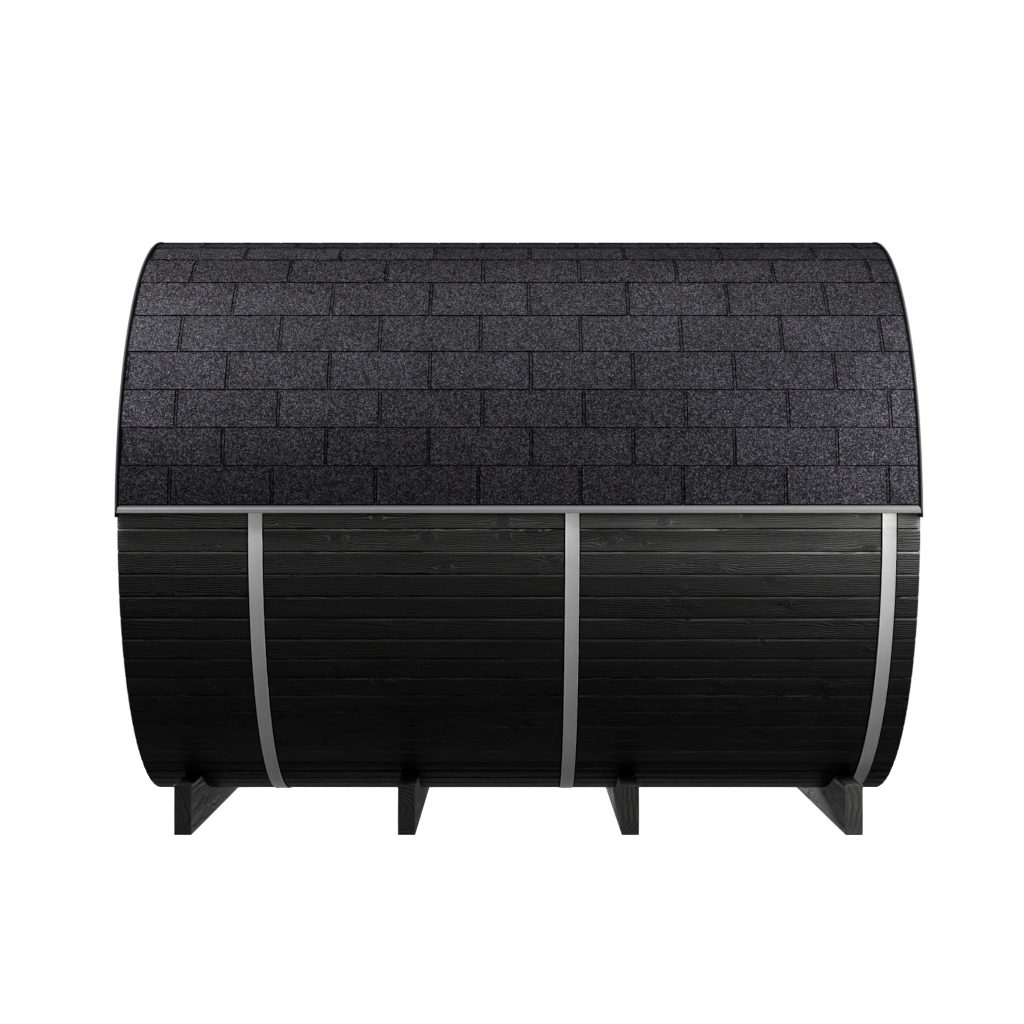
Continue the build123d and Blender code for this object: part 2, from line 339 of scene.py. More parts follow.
def granules(name, level, sheen):
    """Crushed mineral granules on bitumen, darkened along the cut edges, partly as the edges' bare bitumen and partly
    as painted shadow along the rows and slots, with a painted highlight above each row's lower edge and painted glints
    towards the ridge.
    """
    k = Mat(name)
    p = k.node("TexCoord", "Object")
    tone, rim, lip = k.attr("tone"), k.attr("rim"), k.attr("lip")
    vor = k.node("TexVoronoi", "Color", {"Vector": k.scaled(p, 1.0, 0.5, 1.0), "Scale": 430.0, "Randomness": 1.0}, feature="F1")
    small = k.node("TexVoronoi", "Color", {"Vector": p, "Scale": 560.0, "Randomness": 1.0}, feature="F1")
    pick = k.node("SeparateColor", 0, {0: vor}).node.outputs
    pick2 = k.node("SeparateColor", 0, {0: small}).node.outputs[0]
    clump = k.noise(p, 120.0, 2.0, 0.6)
    soft = k.noise(p, 7.0, 3.0, 0.6)
    value = k.math("ADD", k.math("MULTIPLY", k.math("POWER", pick[0], 6.0), 5.8), k.math("MULTIPLY", k.math("MULTIPLY", pick2, pick2), 0.6))
    # painted glints: the granules' contrast rises towards the ridge
    high = k.range(k.node("SeparateXYZ", 0, {0: p}).node.outputs[2], 1.72, 2.06, 0.0, 1.0, kind="SMOOTHSTEP")
    value = k.math("ADD", 1.0, k.math("MULTIPLY", k.math("SUBTRACT", value, 1.0), k.math("ADD", 0.92, k.math("MULTIPLY", high, 1.1))))
    value = k.math("MAXIMUM", value, 0.02)
    value = k.math("MULTIPLY", value, k.range(clump, 0.3, 0.7, 0.92, 1.08, clamp=False))
    value = k.math("MULTIPLY", value, k.range(soft, 0.3, 0.7, 0.90, 1.10, clamp=False))
    value = k.math("MULTIPLY", value, k.range(tone, 0.0, 1.0, 0.90, 1.10, clamp=False))
    # painted highlight: lip lightens the granules just above each row's lower edge
    value = k.math("MULTIPLY", value, k.range(lip, 0.0, 1.0, 1.0, 1.35))
    # rim darkens the edges: partly the bare bitumen of cut edges, partly painted shadow along the rows and slots
    bare_edge_and_shadow = k.math("ADD", k.math("MULTIPLY", k.range(rim, 0.35, 0.65, 1.0, 0.0), 0.96), 0.04)
    value = k.math("MULTIPLY", k.math("MAXIMUM", value, 0.08), bare_edge_and_shadow)
    hue = k.mix(pick[1], (0.91, 0.85, 1.20), (1.04, 0.98, 1.18))
    color = k.mix(1.0, k.grey(k.math("MULTIPLY", value, level)), hue, "MULTIPLY")
    height = k.math("ADD", k.math("MULTIPLY", pick[2], 0.8), k.math("SUBTRACT", clump, k.math("MULTIPLY", vor.node.outputs["Distance"], 0.6)))
    height = k.math("MULTIPLY", height, bare_edge_and_shadow)
    normal = k.bump(height, 0.0007, 0.7)
    k.put(k.b.inputs["Specular Tint"], k.mix(pick[1], (0.83, 0.78, 1.0), (0.92, 0.88, 1.0)))
    gloss = k.math("MULTIPLY", value, sheen)
    return k.finish(color, k.range(pick[1], 0.0, 1.0, 0.42, 0.54), normal, spec=gloss)


def metal(name, level, rough=0.42, metallic=1.0, brush=(3.0, 900.0, 900.0), spread=0.10, relief=0.00004, spec=0.5, wear=0.0, shaded=False):
    """Rolled sheet with fine lines and faint stains."""
    k = Mat(name)
    p = k.attr("wood", "Vector")
    line = k.noise(k.scaled(p, *brush), 1.0, 2.0, 0.6)
    stain = k.noise(k.scaled(p, 14.0, 14.0, 14.0), 1.0, 4.0, 0.6)
    speck = k.noise(p, 420.0, 2.0, 0.7)
    value = k.math("ADD", 1.0, k.math("MULTIPLY", k.math("SUBTRACT", line, 0.5), spread))
    value = k.math("ADD", value, k.math("MULTIPLY", k.math("SUBTRACT", stain, 0.5), 0.16 + wear))
    value = k.math("ADD", value, k.math("MULTIPLY", k.math("SUBTRACT", speck, 0.5), 0.10))
    # painted light and shade: lip lightens or darkens the sheet, as on the bands and the eave trims
    value = k.math("MULTIPLY", value, k.math("ADD", k.attr("lip"), 1.0))
    # painted shade: rim darkens the sheet, almost to black where it is 1
    if shaded:
        open_part = k.math("SUBTRACT", 1.0, k.math("MULTIPLY", k.attr("rim"), 0.985))
        value = k.math("MULTIPLY", value, open_part)
        spec = k.math("MULTIPLY", open_part, spec)
    color = k.grey(k.math("MULTIPLY", value, level))
    rr = k.math("ADD", rough, k.math("MULTIPLY", k.math("SUBTRACT", stain, 0.5), 0.18))
    return k.finish(color, rr, k.bump(k.math("ADD", line, speck), relief, 0.6), metallic=metallic, spec=spec)


STAVE = wood("stave_wood", 0.0104, ring=0.0060, relief=0.0022, contrast=1.35, spec=0.11, band_shadow=True, knots=0.8)
WALL = wood("wall_boards", 0.009, ring=0.009)
DOOR = wood("door_boards", 0.011, ring=0.009)
FLOOR = wood("floor_slats", 0.030, ring=0.009, spec=0.2)
CRADLE = wood("cradle_wood", 0.0104, ring=0.009, relief=0.0030, contrast=1.2, fibres=0.4, thin=0.4)
SHINGLE = granules("shingle_granules", 0.0068, 0.34)
BAND = metal("band_steel", 0.52, rough=0.6, metallic=0.45)
TRIM = metal("trim_metal", 0.245, rough=0.6, metallic=0.2, spread=0.08, shaded=True)
# painted shadow: a near-black strip for the shadowed gap between each end trim and the shingles
SHADOW_STRIP = metal("end_trim_shadow_strip", 0.0015, rough=0.8, metallic=0.0, spec=0.03, spread=0.4, relief=0.0003, wear=0.4)
BLACK = metal("black_steel", 0.035, rough=0.5, metallic=0.2, spread=0.2)

# ---------------------------------------------------------------- staves


def stave_section(upper_first):
    """A stave's cross-section as (tangential, outward, lightness) points, anticlockwise from its inner corner. The
    upper edge is rounded and lightened as a painted highlight, the lower one is nearly sharp, and the open joint
    between two staves is painted dark as shade."""
    gap = 0.00022
    tan = math.tan(STEP / 2)
    n_in = (R - STAVE_T) * math.cos(STEP / 2)
    n_out = R * math.cos(STEP / 2)
    edge = n_out * tan - gap

    def side(points):
        foot = [(n_in * tan - gap - 0.0012, n_in, 1.0), ((n_in + 0.0012) * tan - gap, n_in + 0.0012, 1.0)]
        foot.append(((n_out - 0.0092) * tan - gap, n_out - 0.0092, 0.1))
        out = [(edge - t, n_out - d, f) for t, d, f in points]
        end = edge - 0.0112
        return foot + out + [(end, math.sqrt(R * R - end * end), 1.0)]

    # lightness above 1 on the upper edge is a painted highlight; the near-zero values down the joint's sides are
    # painted shade
    upper = side([
        (0.0015, 0.0078, 0.02), (0.0018, 0.0046, 0.03), (0.0022, 0.0031, 2.6), (0.0034, 0.0018, 3.6), (0.0056, 0.0009, 2.5),
        (0.0084, 0.0002, 1.2),
    ])
    lower = side([(0.0014, 0.0078, 0.02), (0.0015, 0.0014, 0.03), (0.0018, 0.0007, 0.85), (0.0030, 0.0002, 1.0)])
    w = edge - 0.0112
    top = [(w * t, math.sqrt(R * R - (w * t) ** 2), 1.0) for t in (0.78, 0.6, 0.45, 0.3, 0.15, 0.0, -0.2, -0.45, -0.75)]
    first, last = (upper, lower) if upper_first else (lower, upper)
    foot = first[0][0]
    bottom = [(-foot / 3, n_in, 1.0), (foot / 3, n_in, 1.0)]
    return first + top + [(-t, n, f) for t, n, f in reversed(last)] + bottom


# how strong the grain is and how light the stain, board by board down from the eave: painted light and shade that
# lighten the boards in the eave's shadow, darken the lowest boards and set the grain's strength after how strongly
# light falls on each board
GRAIN = [1.7, 1.9, 1.5, 1.1, 0.95, 1.0, 1.1, 1.4, 1.9, 2.0, 2.0, 1.4]
GAINS = [6.0, 3.2, 1.85, 1.1, 1.0, 0.98, 0.9, 0.83, 0.86, 0.82, 0.79, 0.78, 0.76, 0.98, 0.42, 0.12, 0.08, 0.07, 0.07, 0.07]
# painted light along the boards: how much lighter the stain is towards the rear end, per metre, for the boards where it
# differs
ALONG = {0: (1.25, 0.5), 1: (1.0, 0.03), 2: (1.08, 0.22), 3: (1.03, 0.13), 4: (1.0, 0.1), 5: (1.0, 0.1), 8: (1.08, -0.14), 9: (1.10, -0.17), 10: (1.12, -0.17), 11: (1.08, -0.12), 12: (1.08, -0.12)}


def staves():
    sections = stave_section(False), stave_section(True)
    n_out = R * math.cos(STEP / 2)
    k = 0
    for n, count in enumerate(PANELS, 1):
        b = Build()
        for j in range(k, k + count):
            mid = FIRST + (j + 0.5) * STEP
            seed, tone = rng.random(), rng.random()
            ca, sa = math.cos(mid), math.sin(mid)
            section = sections[ca > 0]
            down = (N - j) % N if ca > 0 else j - 40
            spread = 0.9 + 0.3 * rng.random()
            # boards past the list, near the bottom, take 0.4 as painted shade; the boards under the roof vary at random
            gain = GAINS[down] if 0 <= down < len(GAINS) else spread if down < 0 or down > N // 2 else 0.4
            grain = GRAIN[down] if 0 <= down < len(GRAIN) else 1.2
            # painted highlight on the upper edges, strongest on the boards just under the eave
            stave_edge_highlight = 1.9 if down == 1 else 1.35 if down == 2 else 1.0 if down < 7 else 0.75 if down < 10 else 0.4
            base, slope = ALONG.get(down, (1.0, 0.0))
            shown = not (math.radians(6) < mid < math.radians(174))
            length0, length1 = HALF - rng.random() * 0.0003, HALF - rng.random() * 0.0003
            xs = [-length0, -length0 + 0.0016, -length0 + 0.0040]
            count_x = 44 if shown else 6
            xs += [-length0 + 0.0016 + (length0 + length1 - 0.0032) * t / count_x for t in range(1, count_x)]
            xs += [length1 - 0.0040, length1 - 0.0016, length1]
            ph = [rng.random() * 6.28 for _ in range(6)]
            rings, woods, lips = [], [], []
            for i, x in enumerate(xs):
                ring, wd = [], []
                end = i in (0, len(xs) - 1)
                # the painted highlight varies along the board and grows towards the front end on the board under the
                # eave
                highlight_along = 0.85 + 0.25 * math.sin(x * 5.3 + ph[5]) + 0.18 * math.sin(x * 17.1 + ph[1])
                if down == 1:
                    highlight_along *= 1 + 1.2 * max(0.0, -x)
                level = base + slope * (max(0.0, x) if down == 0 else x)
                for t, m, f in section:
                    if end:
                        t2 = t - math.copysign(0.0005, t) if abs(t) > 0.02 else t
                        m2 = m - 0.0012 if m > n_out - 0.01 else m + 0.0012
                    else:
                        t2, m2 = t, m
                        if shown and m > n_out - 0.008:
                            edge = 1 if t > 0 else -1
                            if abs(t) > 0.028:
                                w = 0.00028 * math.sin(x * 7.3 + ph[0] + edge) + 0.0002 * math.sin(x * 23.0 + ph[1] * edge)
                                t2 += edge * min(w, 0.0001)
                                m2 -= 0.00022 * (1 + math.sin(x * 11.0 + ph[2] + 2 * edge))
                            else:
                                m2 -= 0.00018 * (1 + math.sin(x * 4.1 + ph[3])) * (1 + math.sin(t * 120 + ph[4] + x * 3))
                    f = 1 + (f - 1) * highlight_along * stave_edge_highlight if f > 1 else f
                    # painted shadow: board 0 darkens towards the eave trim and is near black just under it
                    if down == 0 and m > n_out - 0.01:
                        z = m * sa + t * ca
                        for z0, f0, z1, f1 in ((0.0300, 0.10, 0.0245, 0.55), (0.0245, 0.55, 0.0130, 1.0)):
                            if z1 < z <= z0:
                                f *= f0 + (f1 - f0) * (z0 - z) / (z0 - z1)
                        if z > 0.0300:
                            f *= 0.1
                    # sawn ends and inner faces have one even stain; the outer faces take the board's painted light and
                    # shade
                    lips.append(0.35 if end else 0.1 if m < n_out - 0.02 else gain * level * f - 1)
                    ring.append((x, -(m2 * ca) - t2 * (-sa), AXIS + m2 * sa + t2 * ca))
                    wd.append((x, t, m - n_out))
                rings.append(ring)
                woods.append(wd)
            b.loft(rings, woods, seed, tone)
            b.lip[-len(lips):] = lips
            # rim sets the grain's strength, stronger towards the front end on the top boards: a painted stand-in for
            # the light on them
            b.rim[-len(lips):] = [grain * (1 - 0.3 * min(1.0, max(-1.0, x)) if down < 4 else 1.0) - 1 for x in xs for _ in section]
        b.make(f"stave_boards_{n:02d}", [STAVE], [f"staves_{n:02d}"])
        k += count


staves()

# ---------------------------------------------------------------- bands


def swept_ring(b, profile, angles, mat=0, loop=True):
    """Sweeps a closed profile of (x, r) points round the axis."""
    rings, woods = [], []
    for a in angles:
        rings.append([pol(x, r, a) for x, r in profile])
        woods.append([(r * a, x, r) for x, r in profile])
    b.loft(rings, woods, mat=mat, loop=loop)


# painted light: how much lighter the steel is made where the eave shades it, as heights over the axis and factors
EAVE_SHADOW_FILL = (
    ((0.05, 0.88), (-0.024, 0.88), (-0.056, 0.64), (-0.088, 0.38), (-0.12, 0.22), (-0.26, 0.0)),
    ((0.05, 0.88), (-0.012, 0.82), (-0.05, 0.30), (-0.13, 0.03), (-0.2, 0.0)),
    ((0.05, 0.88), (0.0253, 0.88), (0.009, 0.68), (-0.007, 0.38), (-0.024, 0.08), (-0.04, -0.02), (-0.12, -0.10), (-0.26, 0.0)),
)


def bands():
    w = 0.0226
    for name, x0, shade_paint in zip(("front", "middle", "rear"), BANDS, EAVE_SHADOW_FILL):
        half = [
            (w - 0.0045, R + 0.0002), (w - 0.0006, R + 0.0006), (w, R + 0.0016), (w - 0.0004, R + 0.0027),
            (w - 0.0014, R + 0.0033), (w - 0.0026, R + 0.0030), (w - 0.0036, R + 0.0023), (w - 0.0050, R + 0.0021),
        ]
        profile = [(x0 + x, r) for x, r in half] + [(x0 - x, r) for x, r in reversed(half)]
        b = Build()
        angles = [2 * math.pi * i / 328 for i in range(328)]
        swept_ring(b, profile, angles)
        # painted highlight on the rolled edges
        band_edge_highlight = [0.0, 0.0, 0.05, 0.25, 0.30, 0.15, 0.0, 0.0]
        band_edge_highlight += band_edge_highlight[::-1]
        b.lip = []
        # painted light filling in the eave's shadow on the steel, on top of the edge highlight
        for a in angles:
            h = R * math.sin(a)
            eave_fill = 0.0
            for (h0, v0), (h1, v1) in zip(shade_paint, shade_paint[1:]):
                if h1 < h <= h0:
                    eave_fill = v0 + (v1 - v0) * (h0 - h) / (h0 - h1)
            b.lip += [min(0.88, (1 + f) * (1 + eave_fill) - 1) for f in band_edge_highlight]
        b.make(f"steel_band_{name}", [BAND], [f"band_{name}"], sharp=60)


bands()

# ---------------------------------------------------------------- end walls


def wall_boards(b, y0, y1, x, ends, pitch=0.094, both=None):
    """Upright boards from y0 to y1, 42 mm thick, centred on x. ends(y) gives the lower and upper end at y."""
    count = max(1, round((y1 - y0) / pitch))
    w = (y1 - y0) / count
    for i in range(count):
        yc = y0 + (i + 0.5) * w
        board(
            b, (x, yc, AXIS), (0, 0, 1), (0, 1, 0), (-1, 0, 0), 0, 0, w - 0.0006, 0.042, c=0.0042,
            cuts=lambda p, yc=yc: ends(yc + p), rings=6, wave=0.0002,
        )


def chord(y, r=0.9376):
    return math.sqrt(max(r * r - y * y, 0.012))


def end_walls():
    w, lo, hi = 0.330, -0.795, 0.815
    x = -0.858
    side = 0.934
    for name, a, c in (("right", -side, -w), ("left", w, side)):
        b = Build()
        wall_boards(b, a, c, x, lambda y: (-chord(y), chord(y)))
        b.make(f"front_wall_boards_{name}", [WALL], [f"front_wall_{name}"])
    b = Build()
    wall_boards(b, -w, w, x, lambda y: (hi, chord(y)))
    b.make("front_wall_boards_over", [WALL], ["front_wall_over_door"])
    b = Build()
    wall_boards(b, -w, w, x, lambda y: (-chord(y), lo))
    b.make("front_wall_boards_under", [WALL], ["front_wall_under_door"])
    b = Build()
    wall_boards(b, -side, side, 1.206, lambda y: (-chord(y), chord(y)))
    b.make("back_wall_boards", [WALL], ["back_wall"])


end_walls()

# ---------------------------------------------------------------- door


def lathe(b, start, axis, profile, segs=24, mat=0, tone=0.5):
    """Turns (distance along axis, radius) points round an axis, closed at both ends."""
    o, d = Vector(start), Vector(axis).normalized()
    u = d.orthogonal().normalized()
    v = d.cross(u)
    rings = []
    for s, r in profile:
        rings.append([o + d * s + (u * math.cos(t) + v * math.sin(t)) * r for t in (2 * math.pi * i / segs for i in range(segs))])
    b.loft(rings, tone=tone, mat=mat)


def screw(b, at, normal, r=0.0042):
    """A countersunk screw head with a shallow round recess."""
    o, d = Vector(at), Vector(normal).normalized()
    lathe(b, o - d * 0.001, d, [(0, r * 0.9), (0.0012, r), (0.0016, r * 0.96), (0.0019, r * 0.55), (0.0019, r * 0.5), (0.0011, r * 0.36)], 16)


def door():
    w, lo, hi, f = 0.330, -0.795, 0.815, 0.040
    x0, x1 = -0.889, -0.832
    xc, depth = (x0 + x1) / 2, x1 - x0
    b = Build()
    for side in (-1, 1):
        board(b, (xc, side * (w - f / 2), AXIS), (0, 0, 1), (0, side, 0), (-1, 0, 0), lo, hi, f - 0.0006, depth, c=0.0025, rings=4)
        board(b, (-0.839, side * (w - f - 0.006), AXIS), (0, 0, 1), (0, side, 0), (-1, 0, 0), lo + f, hi - f, 0.012, 0.014, c=0.0012)
    for z, inner in ((lo + f / 2, 1), (hi - f / 2, -1)):
        board(b, (xc, 0, AXIS + z), (0, 1, 0), (0, 0, 1), (-1, 0, 0), -w + f + 0.0003, w - f - 0.0003, f - 0.0006, depth, c=0.0025)
        board(b, (-0.839, 0, AXIS + z + inner * (f / 2 + 0.006)), (0, 1, 0), (0, 0, 1), (-1, 0, 0), -w + f + 0.012, w - f - 0.012, 0.012, 0.014, c=0.0012)
    b.make("door_frame_timber", [DOOR], ["door_frame"])

    g = f + 0.003
    dw, dlo, dhi = w - g, lo + g, hi - g
    b = Build()
    count = 6
    bw = 2 * dw / count
    for i in range(count):
        yc = -dw + (i + 0.5) * bw
        board(b, (-0.8735, yc, AXIS), (0, 0, 1), (0, 1, 0), (-1, 0, 0), dlo, dhi, bw - 0.0006, 0.027, c=0.0038, rings=5, wave=0.0002)
    for z in (dlo + 0.16, (dlo + dhi) / 2, dhi - 0.16):
        board(b, (-0.8535, 0, AXIS + z), (0, 1, 0), (0, 0, 1), (-1, 0, 0), -dw + 0.02, dw - 0.02, 0.11, 0.013, c=0.002)
    b.make("door_boards", [DOOR], ["door_leaf"])

    for name, face, side in (("outside", -0.887, -1), ("inside", -0.847, 1)):
        b = Build()
        x, y = face + side * 0.045, -w + g + 0.055
        prof = [(0, 0.006), (0.0015, 0.0105), (0.005, 0.0132), (0.009, 0.014), (0.371, 0.014), (0.375, 0.0132), (0.3785, 0.0105), (0.380, 0.006)]
        lathe(b, (x, y, AXIS - 0.190), (0, 0, 1), prof, 28)
        for z in (-0.130, 0.130):
            lathe(b, (face, y, AXIS + z), (side, 0, 0), [(0, 0.0130), (0.0022, 0.0130), (0.0034, 0.0115), (0.0042, 0.0080), (0.036, 0.0080)], 20)
        b.make(f"pull_handle_{name}", [BLACK], [f"door_handle_{name}"])

    pin_y, pin_x = w - f - 0.0015, x0 - 0.0065
    for name, z in (("upper", 0.560), ("lower", -0.540)):
        z += AXIS
        b = Build()
        knuckles = [(-0.045, 0.0035), (-0.0444, 0.0058), (-0.0435, 0.006)]
        for i in range(5):
            a, c = -0.0435 + i * 0.0174, -0.0435 + (i + 1) * 0.0174
            knuckles += [(a + 0.0004, 0.006), (c - 0.0004, 0.006)] + ([(c - 0.0001, 0.0053), (c + 0.0001, 0.0053)] if i < 4 else [])
        knuckles += [(0.0444, 0.0058), (0.045, 0.0035)]
        lathe(b, (pin_x, pin_y, z), (0, 0, 1), knuckles, 20)
        board(b, (x0 - 0.00125, (pin_y + w) / 2 - 0.00125, z), (0, 0, 1), (0, 1, 0), (-1, 0, 0), -0.040, 0.040, w - 0.004 - pin_y - 0.0015, 0.0025, c=0.0006)
        yc = pin_y - 0.0958
        taper = 0.022
        outline = [(-0.0943, -taper * 0.62), (-0.088, -taper * 0.72), (0.06, -taper), (0.0942, -taper), (0.0942, taper), (0.06, taper), (-0.088, taper * 0.72), (-0.0943, taper * 0.62)]
        outline = [(-0.0943 - 0.0, 0.0)] + outline
        rings = []
        for x, k in ((-0.887, 1.0), (x0 - 0.0019, 1.0), (x0 - 0.0025, 0.965)):
            rings.append([(x, yc + p * k, z + q * k) for p, q in outline[1:]])
        b.loft(rings)
        for dy in (-0.078, -0.030, 0.030, 0.070):
            screw(b, (x0 - 0.0024, yc + dy, z + (0.008 if dy in (0.030,) else -0.008 if dy == 0.070 else 0)), (-1, 0, 0))
        for dz in (-0.026, 0.026):
            screw(b, (x0 - 0.0024, w - 0.018, z + dz), (-1, 0, 0), 0.0036)
        b.make(f"strap_hinge_{name}", [BLACK], [f"{name}_hinge"])


door()

# ---------------------------------------------------------------- floors


def floors():
    r = R - STAVE_T - 0.003
    top, t = -0.780, 0.028
    for name, x0, x1 in (("porch", -1.301, -0.891), ("cabin", -0.831, 1.184)):
        b = Build()
        pitch = 0.103
        count = max(1, round((x1 - x0 + 0.008) / pitch))
        w = (x1 - x0 + 0.008) / count
        for i in range(count):
            xc = x0 + (i + 0.5) * w - 0.004 + 0.0
            o = Vector((xc, 0, AXIS + top - t / 2))
            seed, tone = rng.random(), rng.random()
            section = chamfered(w - 0.008, t, 0.003)
            rings, woods = [], []
            for n in range(5):
                ring, wd = [], []
                for p, q in section:
                    s = (-1, -0.998, 0, 0.998, 1)[n] * math.sqrt(r * r - (top - t / 2 + q) ** 2)
                    k = 0.985 if n in (0, 4) else 1
                    ring.append(o + Vector((p * k, s, q * k)))
                    wd.append((s, p, q - t / 2))
                rings.append(ring)
                woods.append(wd)
            b.loft(rings, woods, seed, tone)
            for y in (-0.320, 0.320):
                for dx in (-0.024, 0.024):
                    screw(b, (xc + dx, y, AXIS + top - 0.0004), (0, 0, 1), 0.004)
        for y in (-0.320, 0.320):
            rb = R - STAVE_T - 0.0005
            seed = rng.random()
            rings, woods = [], []
            for x in (x0 + 0.001, x1 - 0.001):
                ring = []
                for dy, z in ((-0.0225, top - t), (0.0225, top - t), (0.0225, None), (0.0, None), (-0.0225, None)):
                    zz = z if z is not None else -math.sqrt((rb * math.cos(STEP / 2)) ** 2 - (y + dy) ** 2)
                    ring.append((x, y + dy, AXIS + zz))
                rings.append(ring)
                woods.append([(x, p[1], p[2]) for p in ring])
            b.loft(rings, woods, seed, 0.4)
        b.make(f"{name}_floor_slats", [FLOOR], [f"{name}_floor"])


floors()

# ---------------------------------------------------------------- cradles


def cradles():
    half, top = 0.643, -0.8967
    r = R
    a0 = -math.asin(0.8967 / r)
    steps = 30
    arc = []
    for i in range(steps + 1):
        a = math.pi - a0 + (2 * a0 + math.pi) * i / steps
        arc.append((-r * math.cos(a), AXIS + r * math.sin(a)))
    c = 0.0022
    for n, x in enumerate((-1.146, -0.382, 0.382, 1.146), 1):
        b = Build()
        y1 = half
        low, high = c + 0.0020, AXIS + top - c - 0.0020
        outer = [(-y1, low), (-y1, c), (-y1 + c, 0.0), (y1 - c, 0.0), (y1, c), (y1, low), (y1, high), (y1, AXIS + top - c), (y1 - c, AXIS + top)]
        outer += arc + [(-y1 + c, AXIS + top), (-y1, AXIS + top - c), (-y1, high)]
        # painted light and shade round the outline: the feet's bottom edges are dark as painted contact shadow, the top
        # corners and the ends of the notch carry painted highlights
        outline_paint = [0.0, -1.0, -0.9, -0.9, -1.0, 0.0, 0.0, 0.8, 0.8, 1.6] + [0.3] * 2 + [0.0] * (len(arc) - 6) + [0.3] * 2 + [1.6, 0.8, 0.8, 0.0]
        cy = sum(p[0] for p in outer) / len(outer)
        inset = []
        m = len(outer)
        for i in range(m):
            p0, p1, p2 = outer[i - 1], outer[i], outer[(i + 1) % m]
            d1 = Vector((p1[0] - p0[0], p1[1] - p0[1])).normalized()
            d2 = Vector((p2[0] - p1[0], p2[1] - p1[1])).normalized()
            nrm = Vector((-(d1.y + d2.y), d1.x + d2.x)).normalized()
            k = 0.0018 / max(0.4, math.sqrt(max(0.0, (1 + d1.dot(d2)) / 2)))
            on_arc = 9 <= i <= 9 + steps
            k = 0.0 if on_arc else k
            inset.append((p1[0] + nrm.x * k, p1[1] + nrm.y * k))
        seed = (0.137, 0.571, 0.293, 0.811)[n - 1]
        # painted light: each cradle's front face and its side faces are made lighter or darker, cradle by cradle
        front_face_light = (0.45, 0.35, 0.9, 2.3)[n - 1]
        side_face_light = (0.5, 0.3, 0.0, -0.42)[n - 1]
        front = (0, 1, 2, len(outer) - 4, len(outer) - 3, len(outer) - 2, len(outer) - 1)
        rings, woods, lips = [], [], []
        # the chamfer rings carry painted edge highlights
        for dx, pts, edge in ((-0.030, inset, 0.6), (-0.0286, outer, 1.0), (-0.0262, outer, 0.0), (0.0262, outer, 0.0), (0.0286, outer, 1.0), (0.030, inset, 0.6)):
            rings.append([(x + dx, y, z) for y, z in pts])
            woods.append([(y, 0.45 * dx + 0.17, z - 0.08) for y, z in pts])
            for i, f in enumerate(outline_paint):
                if pts is inset:
                    lips.append(side_face_light)
                else:
                    shade = 0.05 if f < 0 else (1 + 0.8 * max(edge, f if i not in front else min(f, 1.0))) * (1 + front_face_light if i in front else 1.0)
                    lips.append(shade - 1)
        b.loft(rings, woods, seed, (0.42, 0.35, 0.5, 0.6)[n - 1])
        b.lip[-len(lips):] = lips
        b.make(f"cradle_beam_{n}", [CRADLE], [f"cradle_{n}"])


cradles()

# ---------------------------------------------------------------- roof

ROWS = [math.radians(a) for a in (3.28, 10.40, 17.62, 25.22, 33.57, 42.72, 53.26, 63.55, 72.6, 80.2, 87.6)]
PITCH, SLOT = 0.3333, 0.0056
# each row's first slot, and how far its slots stray on the front and rear part of the roof
SLOTS = [
    (-1.127, -0.005, -0.009), (-0.960, -0.001, -0.006), (-1.127, 0.0075, 0.0060), (-0.960, 0.0015, 0.0020), (-1.127, 0.0, 0.0030),
    (-0.960, -0.0040, 0.0005), (-1.127, 0.0040, 0.0065), (-0.960, -0.0010, 0.0050), (-1.127, 0.003, 0.001), (-0.960, -0.002, 0.002),
]
ROOF_HALF = 1.3046
TAB_T = 0.0030
TOP_R = 1.0262  # outer face of a tab at its lower edge


def plate(b, xs, angles, top, bottom, rims=None, lips=None, tone=0.5, flip=False, jitter=None):
    """A curved plate. top(i, j) and bottom(i, j) give radii over the grid of angles i and xs j. flip mirrors it to the
    left-hand slope."""
    na, nx = len(angles), len(xs)
    pts, rim, lip = [], [], []
    for face in (top, bottom):
        for i, a in enumerate(angles):
            for j, x in enumerate(xs):
                da, dx = jitter(i, j) if jitter else (0.0, 0.0)
                p = pol(x + dx, face(i, j), a + da)
                pts.append((p[0], -p[1], p[2]) if flip else p)
                rim.append(rims(i, j) if rims and face is top else (1.0 if rims else 0.0))
                lip.append(lips(i, j) if lips and face is top else 0.0)
    s = b.add(pts, None, 0.0, tone, rim, lip)
    o = na * nx
    for i in range(na - 1):
        for j in range(nx - 1):
            k = s + i * nx + j
            b.face((k, k + 1, k + nx + 1, k + nx))
            b.face((o + k, o + k + nx, o + k + nx + 1, o + k + 1))
    for i in range(na - 1):
        for j in (0, nx - 1):
            k = s + i * nx + j
            b.face((k, k + nx, o + k + nx, o + k))
    for j in range(nx - 1):
        for i in (0, na - 1):
            k = s + i * nx + j
            b.face((k, k + 1, o + k + 1, o + k))


